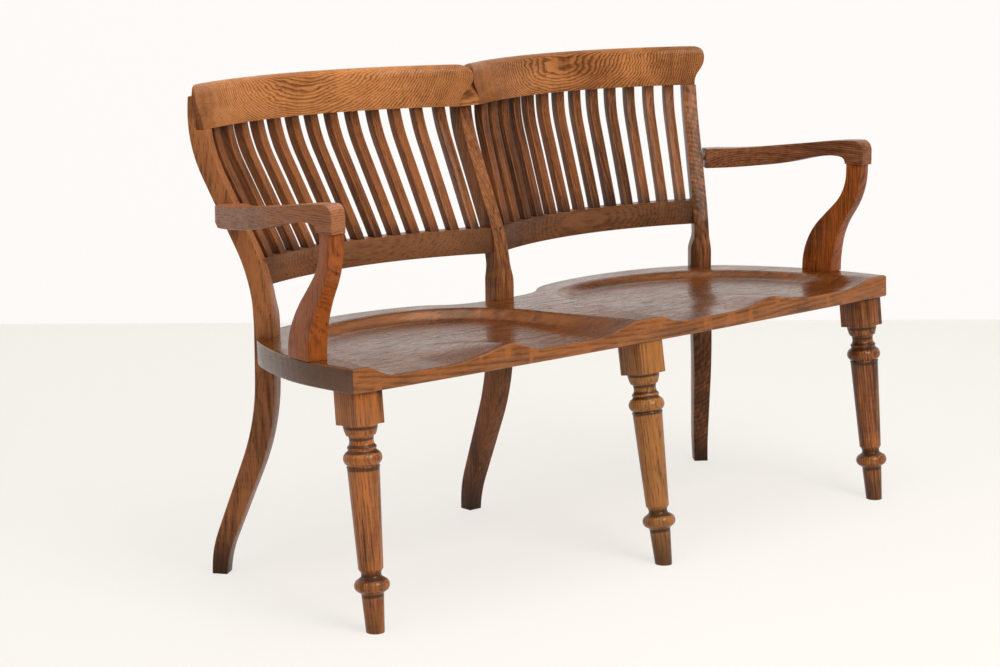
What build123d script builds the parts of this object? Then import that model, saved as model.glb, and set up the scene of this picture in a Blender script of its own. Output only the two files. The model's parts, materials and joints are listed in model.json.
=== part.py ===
from build123d import *
import os
from math import asin, atan2, cos, degrees, radians, sin, tan

# Oak double chair-back settee: one thick saddled seat board, three S-curved back posts,
# two bowed backs of upright slats, two arms and three turned front legs.
# Millimetres, +Z up, the sitter faces -Y, the floor is z = 0, X is the width.
# Depths are measured backwards from the front corners of the seat board.

# Overall places
seat_front_y = -260.455
seat_height = 445.0
floor_overrun = 12.0
cut_reach = 400.0

# Seat board
seat_half_width = 668.0
seat_depth = 480.0
seat_thickness = 42.0
seat_fall_angle = 2.3
seat_front_bow = 15.0
seat_edge_round = 4.0
seat_side_shares = (
    (0.99, 0.345), (0.937, 0.61), (0.893, 0.744), (0.80, 0.885), (0.665, 0.968), (0.45, 1.0),
    (0.21, 0.917), (0.0, 0.813),
)

# Saddle hollows, one for each sitter
saddle_depth = 15.0
saddle_wall = 26.0
saddle_front_overrun = 60.0
saddle_half_shares = (
    (0.04, -0.03), (0.055, 0.10), (0.092, 0.355), (0.113, 0.576), (0.18, 0.744), (0.30, 0.852),
    (0.435, 0.882), (0.59, 0.852), (0.735, 0.749), (0.838, 0.557), (0.892, 0.32), (0.935, 0.094),
    (0.965, -0.03),
)
pommel_centre_share = 0.491
pommel_half_width = 72.0
pommel_length = 175.0
pommel_tip_share = 0.12

# Back posts, each one piece from the floor to the crest rail
post_turn = 36.0
outer_post_inset = 129.5
outer_post_depth = 377.5
centre_post_depth = 374.5
post_depth = 35.0
post_foot_depth = 27.0
post_base_width = 42.0
post_waist_width = 30.0
post_top_width = 27.0
post_top_lean = 12.0
post_outer_reach = 17.0
post_foot_width = 28.0
post_splay = 22.0
post_block_drop = 60.0
post_step_clearance = 17.0
post_step_height = 38.0
outer_post_rake = 119.5
centre_post_rake = 114.0
post_top_taper = 4.0
post_rake_low = 519.0
post_rake_high = 768.0
post_bend_low = 330.0
post_bend_high = 260.0
post_sweep = 91.0
post_sweep_low = 29.0
post_sweep_high = 263.0
post_sweep_lift = 16.0
post_knee_bend = 420.0
post_foot_bend = 200.0
post_top = 849.0
post_housing = 9.0
post_fit = 0.15
post_tongue = 17.0

# Crest rails, bowed in plan about an upright axis
crest_bottom = 791.0
crest_outer_inset = 53.0
crest_inner_x = 25.0
crest_end_depth = 473.5
crest_bow = 78.5
crest_height = 78.0
crest_foot_thickness = 27.0
crest_roll_thickness = 36.0
crest_lean = 5.0
crest_shoulder_share = 0.76
crest_back_share = 0.70
crest_crown_share = 0.52
crest_ear_outer = 21.0
crest_ear_thickness = 17.0
crest_ear_turn = 44.0
crest_ear_share = 0.72
crest_waist_share = 0.04
crest_corner = 22.0
crest_meeting_gap = 0.3
crest_run_out = 40.0
wedge_height_share = 0.66
wedge_setback = 1.0

# Lower rails, bowed like the crest
rail_bottom = 517.0
rail_height = 48.0
rail_thickness = 28.0
rail_bow = 56.0
rail_inner_x = 14.0
rail_outer_overrun = 7.5
rail_end_depth = 398.0
rail_end_gap = 4.0

# Slats
slat_count = 13
slat_width = 19.0
slat_thickness = 20.5
slat_setback = 4.0
slat_foot_margin = 31.0
slat_head_inner = 37.0
slat_head_outer = 54.0
slat_mortise = 11.0
slat_head_bend = 215.0
slat_turn_inner = -10.0
slat_turn_outer = 25.0

# Arms
arm_joint_height = 659.4
arm_front_depth = 46.0
arm_rear_depth = 456.0
arm_front_height = 47.0
arm_front_inset = 26.0
arm_front_width = 28.5
arm_knuckle = 20.0
arm_joint_length = 40.0
arm_throat_length = 33.0
arm_throat_height = 13.6
arm_rear_drop = 34.4
arm_rear_rise = 4.1
arm_lap_start = 46.0
arm_lap_end = 96.0
arm_lap_width = 24.0
arm_outer_swell = 18.5
arm_inner_swell = 24.5
arm_outer_shares = ((0.24, 0.54), (0.495, 1.0), (0.725, 0.86), (0.93, 0.22))
arm_inner_shares = ((0.20, 0.74), (0.45, 1.0), (0.70, 0.64), (0.893, 0.08))
arm_top_shares = ((0.178, 0.895), (0.348, 0.66), (0.514, 0.44), (0.706, 0.20), (0.85, 0.08), (1.0, 0.0))
arm_underside_shares = ((0.264, 0.90), (0.348, 0.75), (0.48, 0.475), (0.59, 0.32), (0.74, 0.145), (1.0, 0.0))

# Arm supports
support_turn = 9.0
support_inset = 25.0
support_front_depth = 49.0
support_top_width = 27.0
support_base_width = 37.0
support_top_depth = 34.0
support_base_depth = 68.0
support_throw = 63.0
support_bend_shares = (0.746, 0.280)
support_front_ease_shares = (0.209, 0.269)
support_rear_ease_shares = (0.176, 0.265)
support_flare_shares = (0.047, 0.536)

# Front legs
leg_outer_inset = 36.5
leg_outer_foot_inset = 31.5
leg_outer_depth = 29.0
leg_outer_foot_depth = -9.5
leg_centre_depth = 6.0
leg_centre_foot_depth = -50.0
leg_block_drop = 98.0
leg_block = 57.0
leg_block_height = 80.0
leg_bulb_radius = 32.5
leg_tenon_radius = 12.5
leg_tenon_length = 20.0
leg_turning_shares = (
    (-0.02, 0.465, 0.520), (0.187, 0.585, 0.64), (0.196, 0.69, 0.92), (0.259, 0.69, 0.63),
    (0.268, 0.555, 0.515), (0.294, 0.555, 0.59), (0.306, 0.645, 0.737), (0.790, 0.83, 0.84),
    (0.799, 0.86, 0.83), (0.806, 0.80, 1.0), (0.873, 0.77, 0.74), (0.881, 0.71, 0.755),
    (0.899, 0.71, 0.68), (0.905, 0.655, 0.62), (0.942, 0.655, 0.67), (0.948, 0.755, 0.85), (1.0, 0.90, 0.90),
)
leg_straight_share = 0.006

# Hidden fixings
dowel_radius = 5.0
dowel_length = 36.0
arm_dowel_sweep = 76.0
arm_dowel_drop = 14.4
support_dowel_spacing = 30.0
crest_dowel_radius = 4.0
crest_dowel_length = 16.0
crest_dowel_height_shares = (0.22, 0.52)
cross_dowel_length = 70.0
cross_dowel_share = 0.2
screw_radius = 2.5
screw_length = 46.0
screw_head_radius = 5.0
screw_head_length = 4.0
plug_length = 8.0

os.makedirs("parts", exist_ok=True)

sides = ((-1, "left"), (1, "right"))
up = Vector(0, 0, 1)
pommel_centre = seat_half_width * pommel_centre_share
outer_post_x = seat_half_width - outer_post_inset
crest_half_chord = (seat_half_width - crest_outer_inset - crest_inner_x) / 2
crest_centre_x = crest_inner_x + crest_half_chord
crest_radius = (crest_half_chord**2 + crest_bow**2) / (2 * crest_bow)
crest_half_angle = degrees(asin(crest_half_chord / crest_radius))
crest_axis_y = seat_front_y + crest_end_depth + crest_bow - crest_radius
crest_top = crest_bottom + crest_height
rail_outer_x = outer_post_x + rail_outer_overrun
rail_half_chord = (rail_outer_x - rail_inner_x) / 2
rail_centre_x = (rail_outer_x + rail_inner_x) / 2
rail_radius = (rail_half_chord**2 + rail_bow**2) / (2 * rail_bow)
rail_half_angle = degrees(asin(rail_half_chord / rail_radius))
rail_axis_y = seat_front_y + rail_end_depth + rail_bow - rail_radius
rail_top = rail_bottom + rail_height
arm_front_inner_x = seat_half_width - arm_front_inset
arm_rear_underside = arm_joint_height - arm_rear_drop
arm_rear_top = arm_joint_height + arm_rear_rise
arm_top = arm_joint_height + arm_front_height
support_height = arm_joint_height - seat_height
leg_turned_height = seat_height - leg_block_drop
post_block_low = seat_height - post_block_drop
post_step_low = seat_height + post_step_clearance
post_step_high = post_step_low + post_step_height


def finish(piece, name):
    """Label a finished piece and write it out."""
    piece.part.label = name
    export_step(piece.part, f"parts/{name}.step")


def seat_plane(drop=0):
    """The seat board's top plane, which falls towards the back, lowered by drop."""
    normal = Vector(0, sin(radians(seat_fall_angle)), cos(radians(seat_fall_angle)))
    origin = Vector(0, seat_front_y, seat_height) - normal * drop
    return Plane(origin=origin, x_dir=(1, 0, 0), z_dir=normal)


def post_rake(side):
    """How far a post's shaft leans back between the seat and the crest."""
    return outer_post_rake if side else centre_post_rake


def post_back(side, turn):
    """The level direction in which a post sweeps back."""
    return Vector(side * sin(radians(turn)), cos(radians(turn)), 0)


def post_plane(side, x, depth, turn):
    """Upright plane through a post's middle: x runs back, y runs up."""
    back = post_back(side, turn)
    return Plane(origin=(side * x, seat_front_y + depth, 0), x_dir=back, z_dir=back.cross(up))


def post_front_plane(side, x, depth, turn):
    """Upright plane across a post: x runs across it, y runs up, the normal faces the sitter."""
    back = post_back(side, turn)
    return Plane(origin=(side * x, seat_front_y + depth, 0), x_dir=back.cross(up), z_dir=back * -1)


def arc_place(side, centre_x, axis_y, radius, angle):
    """A point on a bowed rail's front arc, by its angle from the middle of the rail."""
    x = centre_x + radius * sin(radians(angle))
    return Vector(side * x, axis_y + radius * cos(radians(angle)), 0)


# Crest rails

def crest_edge(reach):
    """Upright edge of a crest rail's end: a cyma from the lower corner out to the ear, then the corner.

    reach is how far the ear stands out past the lower corner."""
    waist = crest_bottom + crest_height * crest_waist_share
    ear = crest_bottom + crest_height * crest_ear_share
    foot = Line((0, crest_bottom - floor_overrun), (0, waist))
    cyma = Spline(foot @ 1, (reach, ear), tangents=((0, 1), (0, 1)))
    corner = Spline(cyma @ 1, (reach - crest_corner, crest_top), tangents=((0, 1), (-1, 0)))
    Line(corner @ 1, (reach - 2 * crest_corner, crest_top))


def crest_section(side):
    """Sketch of the crest's section on the upright plane through the middle of the rail."""
    plane = Plane(origin=(side * crest_centre_x, crest_axis_y + crest_radius, 0),
                  x_dir=(0, 1, 0), z_dir=(1, 0, 0))
    shoulder = crest_bottom + crest_height * crest_shoulder_share
    back = crest_bottom + crest_height * crest_back_share
    slope = (crest_lean, shoulder - crest_bottom)
    crown = (crest_roll_thickness * crest_crown_share, crest_top)
    with BuildSketch(plane) as section:
        with BuildLine():
            face = Line((0, crest_bottom), (crest_lean, shoulder))
            front_roll = Spline(face @ 1, crown, tangents=(slope, (1, 0)))
            rear_roll = Spline(crown, (crest_roll_thickness, back), tangents=((1, 0), (0, -1)))
            rear = Line(rear_roll @ 1, (crest_foot_thickness, crest_bottom))
            Line(rear @ 1, face @ 0)
        make_face()
    return section.sketch


def crest_end_cutter(side, angle, turn, reach):
    """Solid beyond one end of a crest rail; its near face is the end's cyma."""
    corner = arc_place(side, crest_centre_x, crest_axis_y, crest_radius, angle)
    sense = side if angle > 0 else -side
    across = post_back(side, turn).cross(up) * sense
    far = reach + crest_run_out
    roof = crest_top + floor_overrun
    base = crest_bottom - floor_overrun
    inner_x = reach - 2 * crest_corner
    with BuildPart() as cutter:
        with BuildSketch(Plane(origin=corner, x_dir=across, z_dir=across.cross(up))):
            with BuildLine():
                crest_edge(reach)
                Polyline((inner_x, crest_top), (inner_x, roof), (far, roof), (far, base), (0, base))
            make_face()
        extrude(amount=2 * crest_bow, both=True)
    return cutter.part


def tongue_plane(side, x, depth, turn):
    """Upright plane across a post, between its tongue and the crest rail that laps over it."""
    return post_front_plane(side, x, depth, turn).offset(-post_rake(side) - post_tongue)


def tongue_block(side, x, depth, turn, width):
    """Space of a post's tongue, behind the crest rail that laps over it."""
    near = tongue_plane(side, x, depth, turn)
    with BuildPart() as block:
        with BuildSketch(near):
            with Locations((0, (crest_bottom + post_top) / 2)):
                Rectangle(width, post_top - crest_bottom)
        extrude(amount=-2 * crest_bow)
    return block.part


def crest_blank(side):
    """Crest rail, lapped over the posts, before its slat mortises are cut."""
    half_arc = crest_half_angle + degrees(crest_run_out / crest_radius)
    axis = Axis((side * crest_centre_x, crest_axis_y, 0), (0, 0, 1))
    section = crest_section(side)
    outer_end = crest_end_cutter(side, crest_half_angle, crest_half_angle, crest_ear_outer)
    inner_end = crest_end_cutter(side, -crest_half_angle, 0, crest_inner_x - crest_meeting_gap / 2)
    outer_tongue = tongue_block(side, outer_post_x, outer_post_depth, post_turn, 2 * post_base_width)
    centre_tongue = tongue_block(0, 0, centre_post_depth, 0, post_base_width)
    ear = arc_place(side, crest_centre_x, crest_axis_y, crest_radius + crest_ear_thickness, crest_half_angle)
    ear_back = Plane(origin=ear, z_dir=post_back(side, crest_ear_turn))
    with BuildPart() as blank:
        revolve(section, axis=axis, revolution_arc=half_arc)
        revolve(section, axis=axis, revolution_arc=-half_arc)
        for cutter in (outer_end, inner_end, outer_tongue, centre_tongue):
            add(cutter, mode=Mode.SUBTRACT)
        split(bisect_by=ear_back, keep=Keep.BOTTOM)
    return blank.part


def build_crest(side, inserts):
    """Crest rail with its mortises and dowel holes."""
    with BuildPart() as crest:
        add(crest_blank(side))
        for insert in inserts:
            add(insert, mode=Mode.SUBTRACT)
    return crest


def build_wedge(inserts):
    """Block that fills the notch between the cymas of the two crest rails, over the centre post."""
    face_y = seat_front_y + crest_end_depth + wedge_setback
    height = crest_height * wedge_height_share
    rear_y = seat_front_y + centre_post_depth + centre_post_rake + post_tongue
    waist = crest_bottom + crest_height * crest_waist_share
    ear = crest_bottom + crest_height * crest_ear_share
    ends = []
    with BuildPart() as wedge:
        with BuildSketch(Plane(origin=(0, face_y, 0), x_dir=(1, 0, 0), z_dir=(0, -1, 0))):
            with BuildLine():
                for side in (-1, 1):
                    foot = Line((side * crest_inner_x, crest_bottom), (side * crest_inner_x, waist))
                    cyma = Spline(foot @ 1, (side * crest_meeting_gap / 2, ear), tangents=((0, 1), (0, 1)))
                    ends.append((foot @ 0, cyma @ 1))
                Line(ends[0][0], ends[1][0])
                Line(ends[0][1], ends[1][1])
            make_face()
            with Locations((0, crest_bottom + height / 2)):
                Rectangle(2 * crest_inner_x, height, mode=Mode.INTERSECT)
        extrude(amount=face_y - rear_y)
        for insert in inserts:
            add(insert, mode=Mode.SUBTRACT)
    return wedge


# Lower rails

def rail_blank(side):
    """Lower rail, housed in the posts at both ends, before its slat mortises are cut."""
    middle = (side * rail_centre_x, rail_axis_y + rail_radius, 0)
    plane = Plane(origin=middle, x_dir=(0, 1, 0), z_dir=(1, 0, 0))
    half_arc = rail_half_angle + degrees(post_base_width / rail_radius)
    axis = Axis((side * rail_centre_x, rail_axis_y, 0), (0, 0, 1))
    outer_end = post_plane(side, outer_post_x, outer_post_depth, post_turn).offset(-side * rail_end_gap)
    with BuildPart() as blank:
        with BuildSketch(plane) as section:
            with Locations((rail_thickness / 2, rail_bottom + rail_height / 2)):
                Rectangle(rail_thickness, rail_height)
        revolve(section.sketch, axis=axis, revolution_arc=half_arc)
        revolve(section.sketch, axis=axis, revolution_arc=-half_arc)
        split(bisect_by=outer_end, keep=Keep.BOTTOM if side > 0 else Keep.TOP)
        split(bisect_by=Plane.YZ.offset(side * rail_end_gap), keep=Keep.TOP if side > 0 else Keep.BOTTOM)
    return blank.part


def build_rail(side, inserts):
    """Lower rail with its slat mortises."""
    with BuildPart() as rail:
        add(rail_blank(side))
        for insert in inserts:
            add(insert, mode=Mode.SUBTRACT)
    return rail


# Slats

def slat_ends(side, index):
    """Foot and head of a slat's front face, counted from the centre post outwards."""
    share = index / (slat_count - 1)
    foot_arc = 2 * radians(rail_half_angle) * rail_radius - 2 * slat_foot_margin
    head_arc = 2 * radians(crest_half_angle) * crest_radius - slat_head_inner - slat_head_outer
    foot_angle = degrees((slat_foot_margin + foot_arc * share) / rail_radius) - rail_half_angle
    head_angle = degrees((slat_head_inner + head_arc * share) / crest_radius) - crest_half_angle
    foot = arc_place(side, rail_centre_x, rail_axis_y, rail_radius + slat_setback, foot_angle)
    head = arc_place(side, crest_centre_x, crest_axis_y, crest_radius + slat_setback, head_angle)
    return foot + up * rail_top, head + up * crest_bottom


def slat_edge(rake, height, shift):
    """One S-curved edge of a slat, in step with the posts: bent back, then upright again."""
    stretch = height / (crest_bottom - rail_top)
    lead = rake * (rail_top - post_rake_low) / (post_rake_high - rail_top)
    low = (post_rake_low - rail_top) * stretch
    high = (post_rake_high - rail_top) * stretch
    points = [
        (shift - lead, low - post_bend_low),
        (shift - lead, low),
        (shift + rake, high),
        (shift + rake, height + slat_head_bend),
    ]
    return FilletPolyline(*points, radius=[post_bend_low, slat_head_bend])


def build_slat(side, index):
    """One slat, let into the rails at both ends."""
    foot, head = slat_ends(side, index)
    turn = slat_turn_inner + (slat_turn_outer - slat_turn_inner) * index / (slat_count - 1)
    back = post_back(side, turn)
    rake = (head - foot).dot(back)
    rise = (head - foot) - back * rake
    plane = Plane(origin=foot, x_dir=back, z_dir=back.cross(rise.normalized()))
    with BuildPart() as slat:
        with BuildSketch(plane):
            with BuildLine():
                front = slat_edge(rake, rise.length, 0)
                rear = slat_edge(rake, rise.length, slat_thickness)
                Line(front @ 0, rear @ 0)
                Line(front @ 1, rear @ 1)
            make_face()
        extrude(amount=slat_width / 2, both=True)
        split(bisect_by=Plane.XY.offset(rail_top - slat_mortise), keep=Keep.TOP)
        split(bisect_by=Plane.XY.offset(crest_bottom + slat_mortise), keep=Keep.BOTTOM)
    return slat


# Back posts

def post_edge(side, shift, foot_shift, lift, taper):
    """Front or rear edge of a post, from below the floor to its top."""
    rake = post_rake(side)
    points = [
        (foot_shift, -post_foot_bend),
        (foot_shift, post_sweep_low + lift),
        (shift, post_sweep_high + lift),
        (shift, post_rake_low),
        (shift + rake, post_rake_high),
        (shift + rake - taper, post_top),
    ]
    return FilletPolyline(*points, radius=[post_foot_bend, post_knee_bend, post_bend_low, post_bend_high])


def post_reaches(side, sense):
    """How far a post's waist and top reach to one side of its middle plane."""
    top_reach = post_outer_reach - post_top_lean
    if side * sense > 0:
        return post_outer_reach, top_reach
    if side * sense < 0:
        return post_waist_width - post_outer_reach, post_top_width - top_reach
    return post_waist_width / 2, post_top_width / 2


def post_face(side, plane):
    """Face outline of a post: splayed foot, square block at the seat, ogee and tapered shaft."""
    roof = post_top + floor_overrun
    ends = []
    with BuildSketch(plane) as face:
        with BuildLine():
            for sense in (-1, 1):
                waist, top = post_reaches(side, sense)
                foot = (side * post_splay + sense * post_foot_width / 2, 0)
                block = Polyline(foot, (sense * post_base_width / 2, post_block_low),
                                 (sense * post_base_width / 2, post_step_low))
                ogee = Spline(block @ 1, (sense * waist, post_step_high), tangents=((0, 1), (0, 1)))
                shaft = Line(ogee @ 1, (sense * top, roof))
                ends.append((block @ 0, shaft @ 1))
            Line(ends[0][0], ends[1][0])
            Line(ends[0][1], ends[1][1])
        make_face()
    return face.sketch


def build_post(side, x, depth, turn, neighbours):
    """One back post, cut to receive the pieces that it carries. side is 0 at the centre."""
    face = post_face(side, post_front_plane(side, x, depth, turn))
    lap = tongue_plane(side, x, depth, turn)
    with BuildPart() as post:
        with BuildSketch(post_plane(side, x, depth, turn)):
            with BuildLine():
                front = post_edge(side, 0, post_sweep, 0, 0)
                heel = post_sweep + post_foot_depth
                rear = post_edge(side, post_depth, heel, post_sweep_lift, post_top_taper)
                Line(front @ 0, rear @ 0)
                Line(front @ 1, rear @ 1)
            make_face()
        extrude(amount=post_base_width / 2 + post_splay, both=True)
        extrude(face, amount=cut_reach, both=True, mode=Mode.INTERSECT)
        with BuildSketch(lap):
            with Locations((0, crest_top)):
                Rectangle(2 * post_base_width, 2 * crest_height)
        extrude(amount=cut_reach, mode=Mode.SUBTRACT)
        for piece in neighbours:
            add(piece, mode=Mode.SUBTRACT)
    return post


def post_housing_block(side, x, depth, turn):
    """Notch in the seat board's edge that a post stands in."""
    near = post_front_plane(side, x, depth, turn).offset(-post_housing)
    with BuildPart() as block:
        with BuildSketch(near):
            with Locations((0, seat_height - seat_thickness)):
                Rectangle(post_base_width + 2 * post_fit, 4 * seat_thickness)
        extrude(amount=-4 * post_depth)
    return block.part


# Front legs

def leg_frame(side, x, foot_x, depth, foot_depth):
    """Plane through a leg's axis: origin at its foot, y along the raking axis."""
    foot = Vector(side * foot_x, seat_front_y + foot_depth, 0)
    head = Vector(side * x, seat_front_y + depth, leg_turned_height)
    axis = (head - foot).normalized()
    across = Vector(0, 1, 0).cross(axis).normalized()
    return Plane(origin=foot, x_dir=across, z_dir=across.cross(axis))


def turned_outline():
    """Outline of the turned part of a leg, from below the floor to the block."""
    rows = []
    for height, radius, middle in leg_turning_shares:
        rows.append((height * leg_turned_height, radius * leg_bulb_radius, middle * leg_bulb_radius))
    Line((0, rows[0][0]), (rows[0][1], rows[0][0]))
    for low, high in zip(rows, rows[1:]):
        start = (low[1], low[0])
        end = (high[1], high[0])
        middle = (low[2], (low[0] + high[0]) / 2)
        if abs(low[2] - (low[1] + high[1]) / 2) < leg_straight_share * leg_bulb_radius:
            Line(start, end)
        else:
            ThreePointArc(start, middle, end)
    Polyline((rows[-1][1], rows[-1][0]), (0, rows[-1][0]), (0, rows[0][0]))


def build_leg(frame):
    """Turned front leg with its square block and the round tenon that enters the seat."""
    axis = frame.y_dir
    seat_foot = seat_plane(seat_thickness)
    reach = (seat_foot.origin - frame.origin).dot(seat_foot.z_dir) / axis.dot(seat_foot.z_dir)
    block_foot = Plane(origin=frame.origin + axis * leg_turned_height, x_dir=frame.x_dir, z_dir=axis)
    with BuildPart() as leg:
        with BuildSketch(frame):
            with BuildLine():
                turned_outline()
            make_face()
        revolve(axis=Axis(frame.origin, axis))
        with BuildSketch(block_foot):
            Rectangle(leg_block, leg_block)
        extrude(amount=leg_block_height)
        split(bisect_by=Plane.XY, keep=Keep.TOP)
        split(bisect_by=seat_foot, keep=Keep.BOTTOM)
        with BuildSketch(block_foot):
            Circle(leg_tenon_radius)
        extrude(amount=reach + leg_tenon_length - leg_turned_height)
    return leg


# Seat board

def seat_points(side, shares):
    """Points of a seat outline, given as shares of the half width and the depth."""
    return [(side * seat_half_width * x, seat_depth * y) for x, y in shares]


def seat_section_plane(along):
    """Plane across the board at a depth from its front: x runs right, y is the board's normal."""
    base = seat_plane()
    return Plane(origin=base.origin + base.y_dir * along, x_dir=base.x_dir, z_dir=base.y_dir * -1)


def saddle_ring(points, drop):
    """Rim or floor outline of a saddle hollow, open towards the front."""
    with BuildSketch(seat_plane(drop)) as ring:
        with BuildLine():
            rim = Spline(*points)
            ahead = [(x, -saddle_front_overrun) for x in (points[-1][0], points[0][0])]
            Polyline(rim @ 1, *ahead, rim @ 0)
        make_face()
    return ring.sketch


def pommel_section(side, along, share):
    """Upright triangle of the pommel ridge; share is its size against the ridge's size at the front edge."""
    middle = side * pommel_centre
    half = pommel_half_width * share
    with BuildSketch(seat_section_plane(along)) as section:
        with BuildLine():
            Polyline((middle - half, -saddle_depth), (middle, saddle_depth * (share - 1)),
                     (middle + half, -saddle_depth), (middle, -2 * saddle_depth), close=True)
        make_face()
    return section.sketch


def saddle_cutter(side):
    """Hollow of one saddle, with its pommel left standing at the front."""
    rim = seat_points(side, saddle_half_shares)
    middle = (rim[0][0] + rim[-1][0]) / 2
    narrow = 1 - 2 * saddle_wall / abs(rim[0][0] - rim[-1][0])
    floor = [(middle + (x - middle) * narrow, y * narrow) for x, y in rim]
    root_share = 1 + (saddle_front_overrun - seat_front_bow) / pommel_length
    root = pommel_section(side, -saddle_front_overrun, root_share)
    tip = pommel_section(side, pommel_length, pommel_tip_share)
    with BuildPart() as cutter:
        loft([saddle_ring(rim, -seat_edge_round), saddle_ring(floor, saddle_depth)])
        loft([root, tip], mode=Mode.SUBTRACT)
    return cutter.part


def build_seat(inserts):
    """The seat board with its saddles, post notches and mortises."""
    with BuildPart() as seat:
        with BuildSketch(seat_plane(seat_thickness)):
            with BuildLine():
                ThreePointArc((-seat_half_width, 0), (0, -seat_front_bow), (seat_half_width, 0))
                for side in (-1, 1):
                    Spline((side * seat_half_width, 0), *seat_points(side, seat_side_shares),
                           tangents=((0, 1), (-side, 0)))
            make_face()
        extrude(amount=seat_thickness)
        for side in (-1, 1):
            add(saddle_cutter(side), mode=Mode.SUBTRACT)
        for insert in inserts:
            add(insert, mode=Mode.SUBTRACT)
    return seat


# Arms

def arm_lap_plane(side):
    """Outer face of an outer post, which the arm laps against."""
    return post_plane(side, outer_post_x, outer_post_depth, post_turn).offset(side * post_outer_reach)


def arm_outline(side):
    """Plan of an arm: lapped against the post's outer side, swelling outwards, then in to the knuckle."""
    post = arm_lap_plane(side)
    lap_start = post.origin + post.x_dir * arm_lap_start
    lap_end = post.origin + post.x_dir * arm_lap_end
    rear_corner = lap_end + post.z_dir * (side * arm_lap_width)
    front_y = seat_front_y + arm_front_depth
    inner_corner = Vector(side * arm_front_inner_x, front_y, 0)
    outer_corner = inner_corner + Vector(side * arm_front_width, 0, 0)
    Spline(*swell_points(side, lap_start, inner_corner, arm_inner_swell, arm_inner_shares))
    Spline(*swell_points(side, rear_corner, outer_corner, arm_outer_swell, arm_outer_shares))
    Line(inner_corner, outer_corner)
    Polyline(lap_start, lap_end, rear_corner)


def swell_points(side, start, end, swell, shares):
    """Points of an arm's edge from start to end, swelled away from the seat."""
    run = end - start
    outward = run.cross(up).normalized() * -side
    between = [start + run * along + outward * (swell * out) for along, out in shares]
    return [start, *between, end]


def arm_profile():
    """Side outline of an arm: knuckle, rising top and tapering underside. x is the depth."""
    front = seat_front_y + arm_front_depth
    length = arm_rear_depth - arm_front_depth
    throat = (front + arm_joint_length + arm_throat_length, arm_joint_height + arm_throat_height)
    top_points = [(front + length * x, arm_rear_top + (arm_top - arm_rear_top) * z)
                  for x, z in arm_top_shares]
    low_points = [(front + length * x, arm_rear_underside + (throat[1] - arm_rear_underside) * z)
                  for x, z in arm_underside_shares]
    face = Line((front, arm_joint_height), (front, arm_top - arm_knuckle))
    knuckle = TangentArc(face @ 1, (front + arm_knuckle, arm_top), tangent=(0, 1))
    upper = Spline(knuckle @ 1, *top_points)
    hollow = Spline((front + arm_joint_length, arm_joint_height), throat, tangents=((0, 1), (1, 0)))
    lower = Spline(throat, *low_points)
    Line(upper @ 1, lower @ 1)
    Line(face @ 0, hollow @ 0)


def build_arm(side, inserts):
    """An arm: its plan and its side outline cut from one board."""
    cross = Plane(origin=(side * arm_front_inner_x, 0, 0), x_dir=(0, 1, 0), z_dir=(1, 0, 0))
    with BuildPart() as arm:
        with BuildSketch(Plane.XY.offset(arm_rear_underside - floor_overrun)):
            with BuildLine():
                arm_outline(side)
            make_face()
        extrude(amount=arm_top - arm_rear_underside + 2 * floor_overrun)
        with BuildSketch(cross):
            with BuildLine():
                arm_profile()
            make_face()
        extrude(amount=cut_reach, both=True, mode=Mode.INTERSECT)
        for insert in inserts:
            add(insert, mode=Mode.SUBTRACT)
    return arm


# Arm supports

def support_plane(side):
    """Upright plane of a support's inner face: x runs back, y runs up."""
    back = post_back(side, -support_turn)
    inner_x = seat_half_width - support_inset
    return Plane(origin=(side * inner_x, seat_front_y + support_front_depth, 0), x_dir=back,
                 z_dir=back.cross(up))


def support_edge(shift, foot_shift, ease_shares):
    """Front or rear edge of a support, from its top down into the seat.

    ease_shares are how far each bend is eased along the edge, against the support's height."""
    high, low = (seat_height + support_height * share for share in support_bend_shares)
    slope = degrees(atan2(foot_shift - shift, high - low))
    radii = [support_height * share / tan(radians(slope / 2)) for share in ease_shares]
    points = [(shift, arm_joint_height), (shift, high), (foot_shift, low),
              (foot_shift, seat_height - seat_thickness)]
    return FilletPolyline(*points, radius=radii)


def build_support(side, inserts):
    """An arm support, sawn to an S from a board and flared at its outer foot."""
    plane = support_plane(side)
    across = Plane(origin=plane.origin, x_dir=plane.z_dir, z_dir=plane.x_dir * -1)
    wide = side * support_base_width
    narrow = side * support_top_width
    clear = 2 * wide
    roof = arm_joint_height + floor_overrun
    flare_low, flare_high = (seat_height + support_height * share for share in support_flare_shares)
    with BuildPart() as support:
        with BuildSketch(plane):
            with BuildLine():
                front = support_edge(0, support_throw, support_front_ease_shares)
                rear = support_edge(support_top_depth, support_throw + support_base_depth,
                                    support_rear_ease_shares)
                Line(front @ 0, rear @ 0)
                Line(front @ 1, rear @ 1)
            make_face()
        extrude(amount=wide)
        with BuildSketch(across) as flare:
            with BuildLine():
                ogee = Spline((wide, flare_low), (narrow, flare_high), tangents=((0, 1), (0, 1)))
                Polyline(ogee @ 1, (narrow, roof), (clear, roof), (clear, flare_low), ogee @ 0)
            make_face()
        extrude(flare.sketch, amount=cut_reach, both=True, mode=Mode.SUBTRACT)
        split(bisect_by=seat_plane(), keep=Keep.TOP)
        for insert in inserts:
            add(insert, mode=Mode.SUBTRACT)
    return support


# Hidden fixings

def add_rod(centre, direction, radius, length):
    """A dowel or shank, centred on a joint, added to the open group."""
    plane = Plane(origin=centre - direction * (length / 2), z_dir=direction)
    with BuildSketch(plane) as end:
        Circle(radius)
    extrude(end.sketch, amount=length, dir=direction)


def build_arm_joint_dowels():
    """Upright dowels between the arms and their supports."""
    with BuildPart() as group:
        for side, word in sides:
            plane = support_plane(side)
            middle = plane.origin + plane.x_dir * (support_top_depth / 2)
            middle = middle + plane.z_dir * (side * support_top_width / 2) + up * arm_joint_height
            add_rod(middle, up, dowel_radius, dowel_length)
    return group


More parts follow.
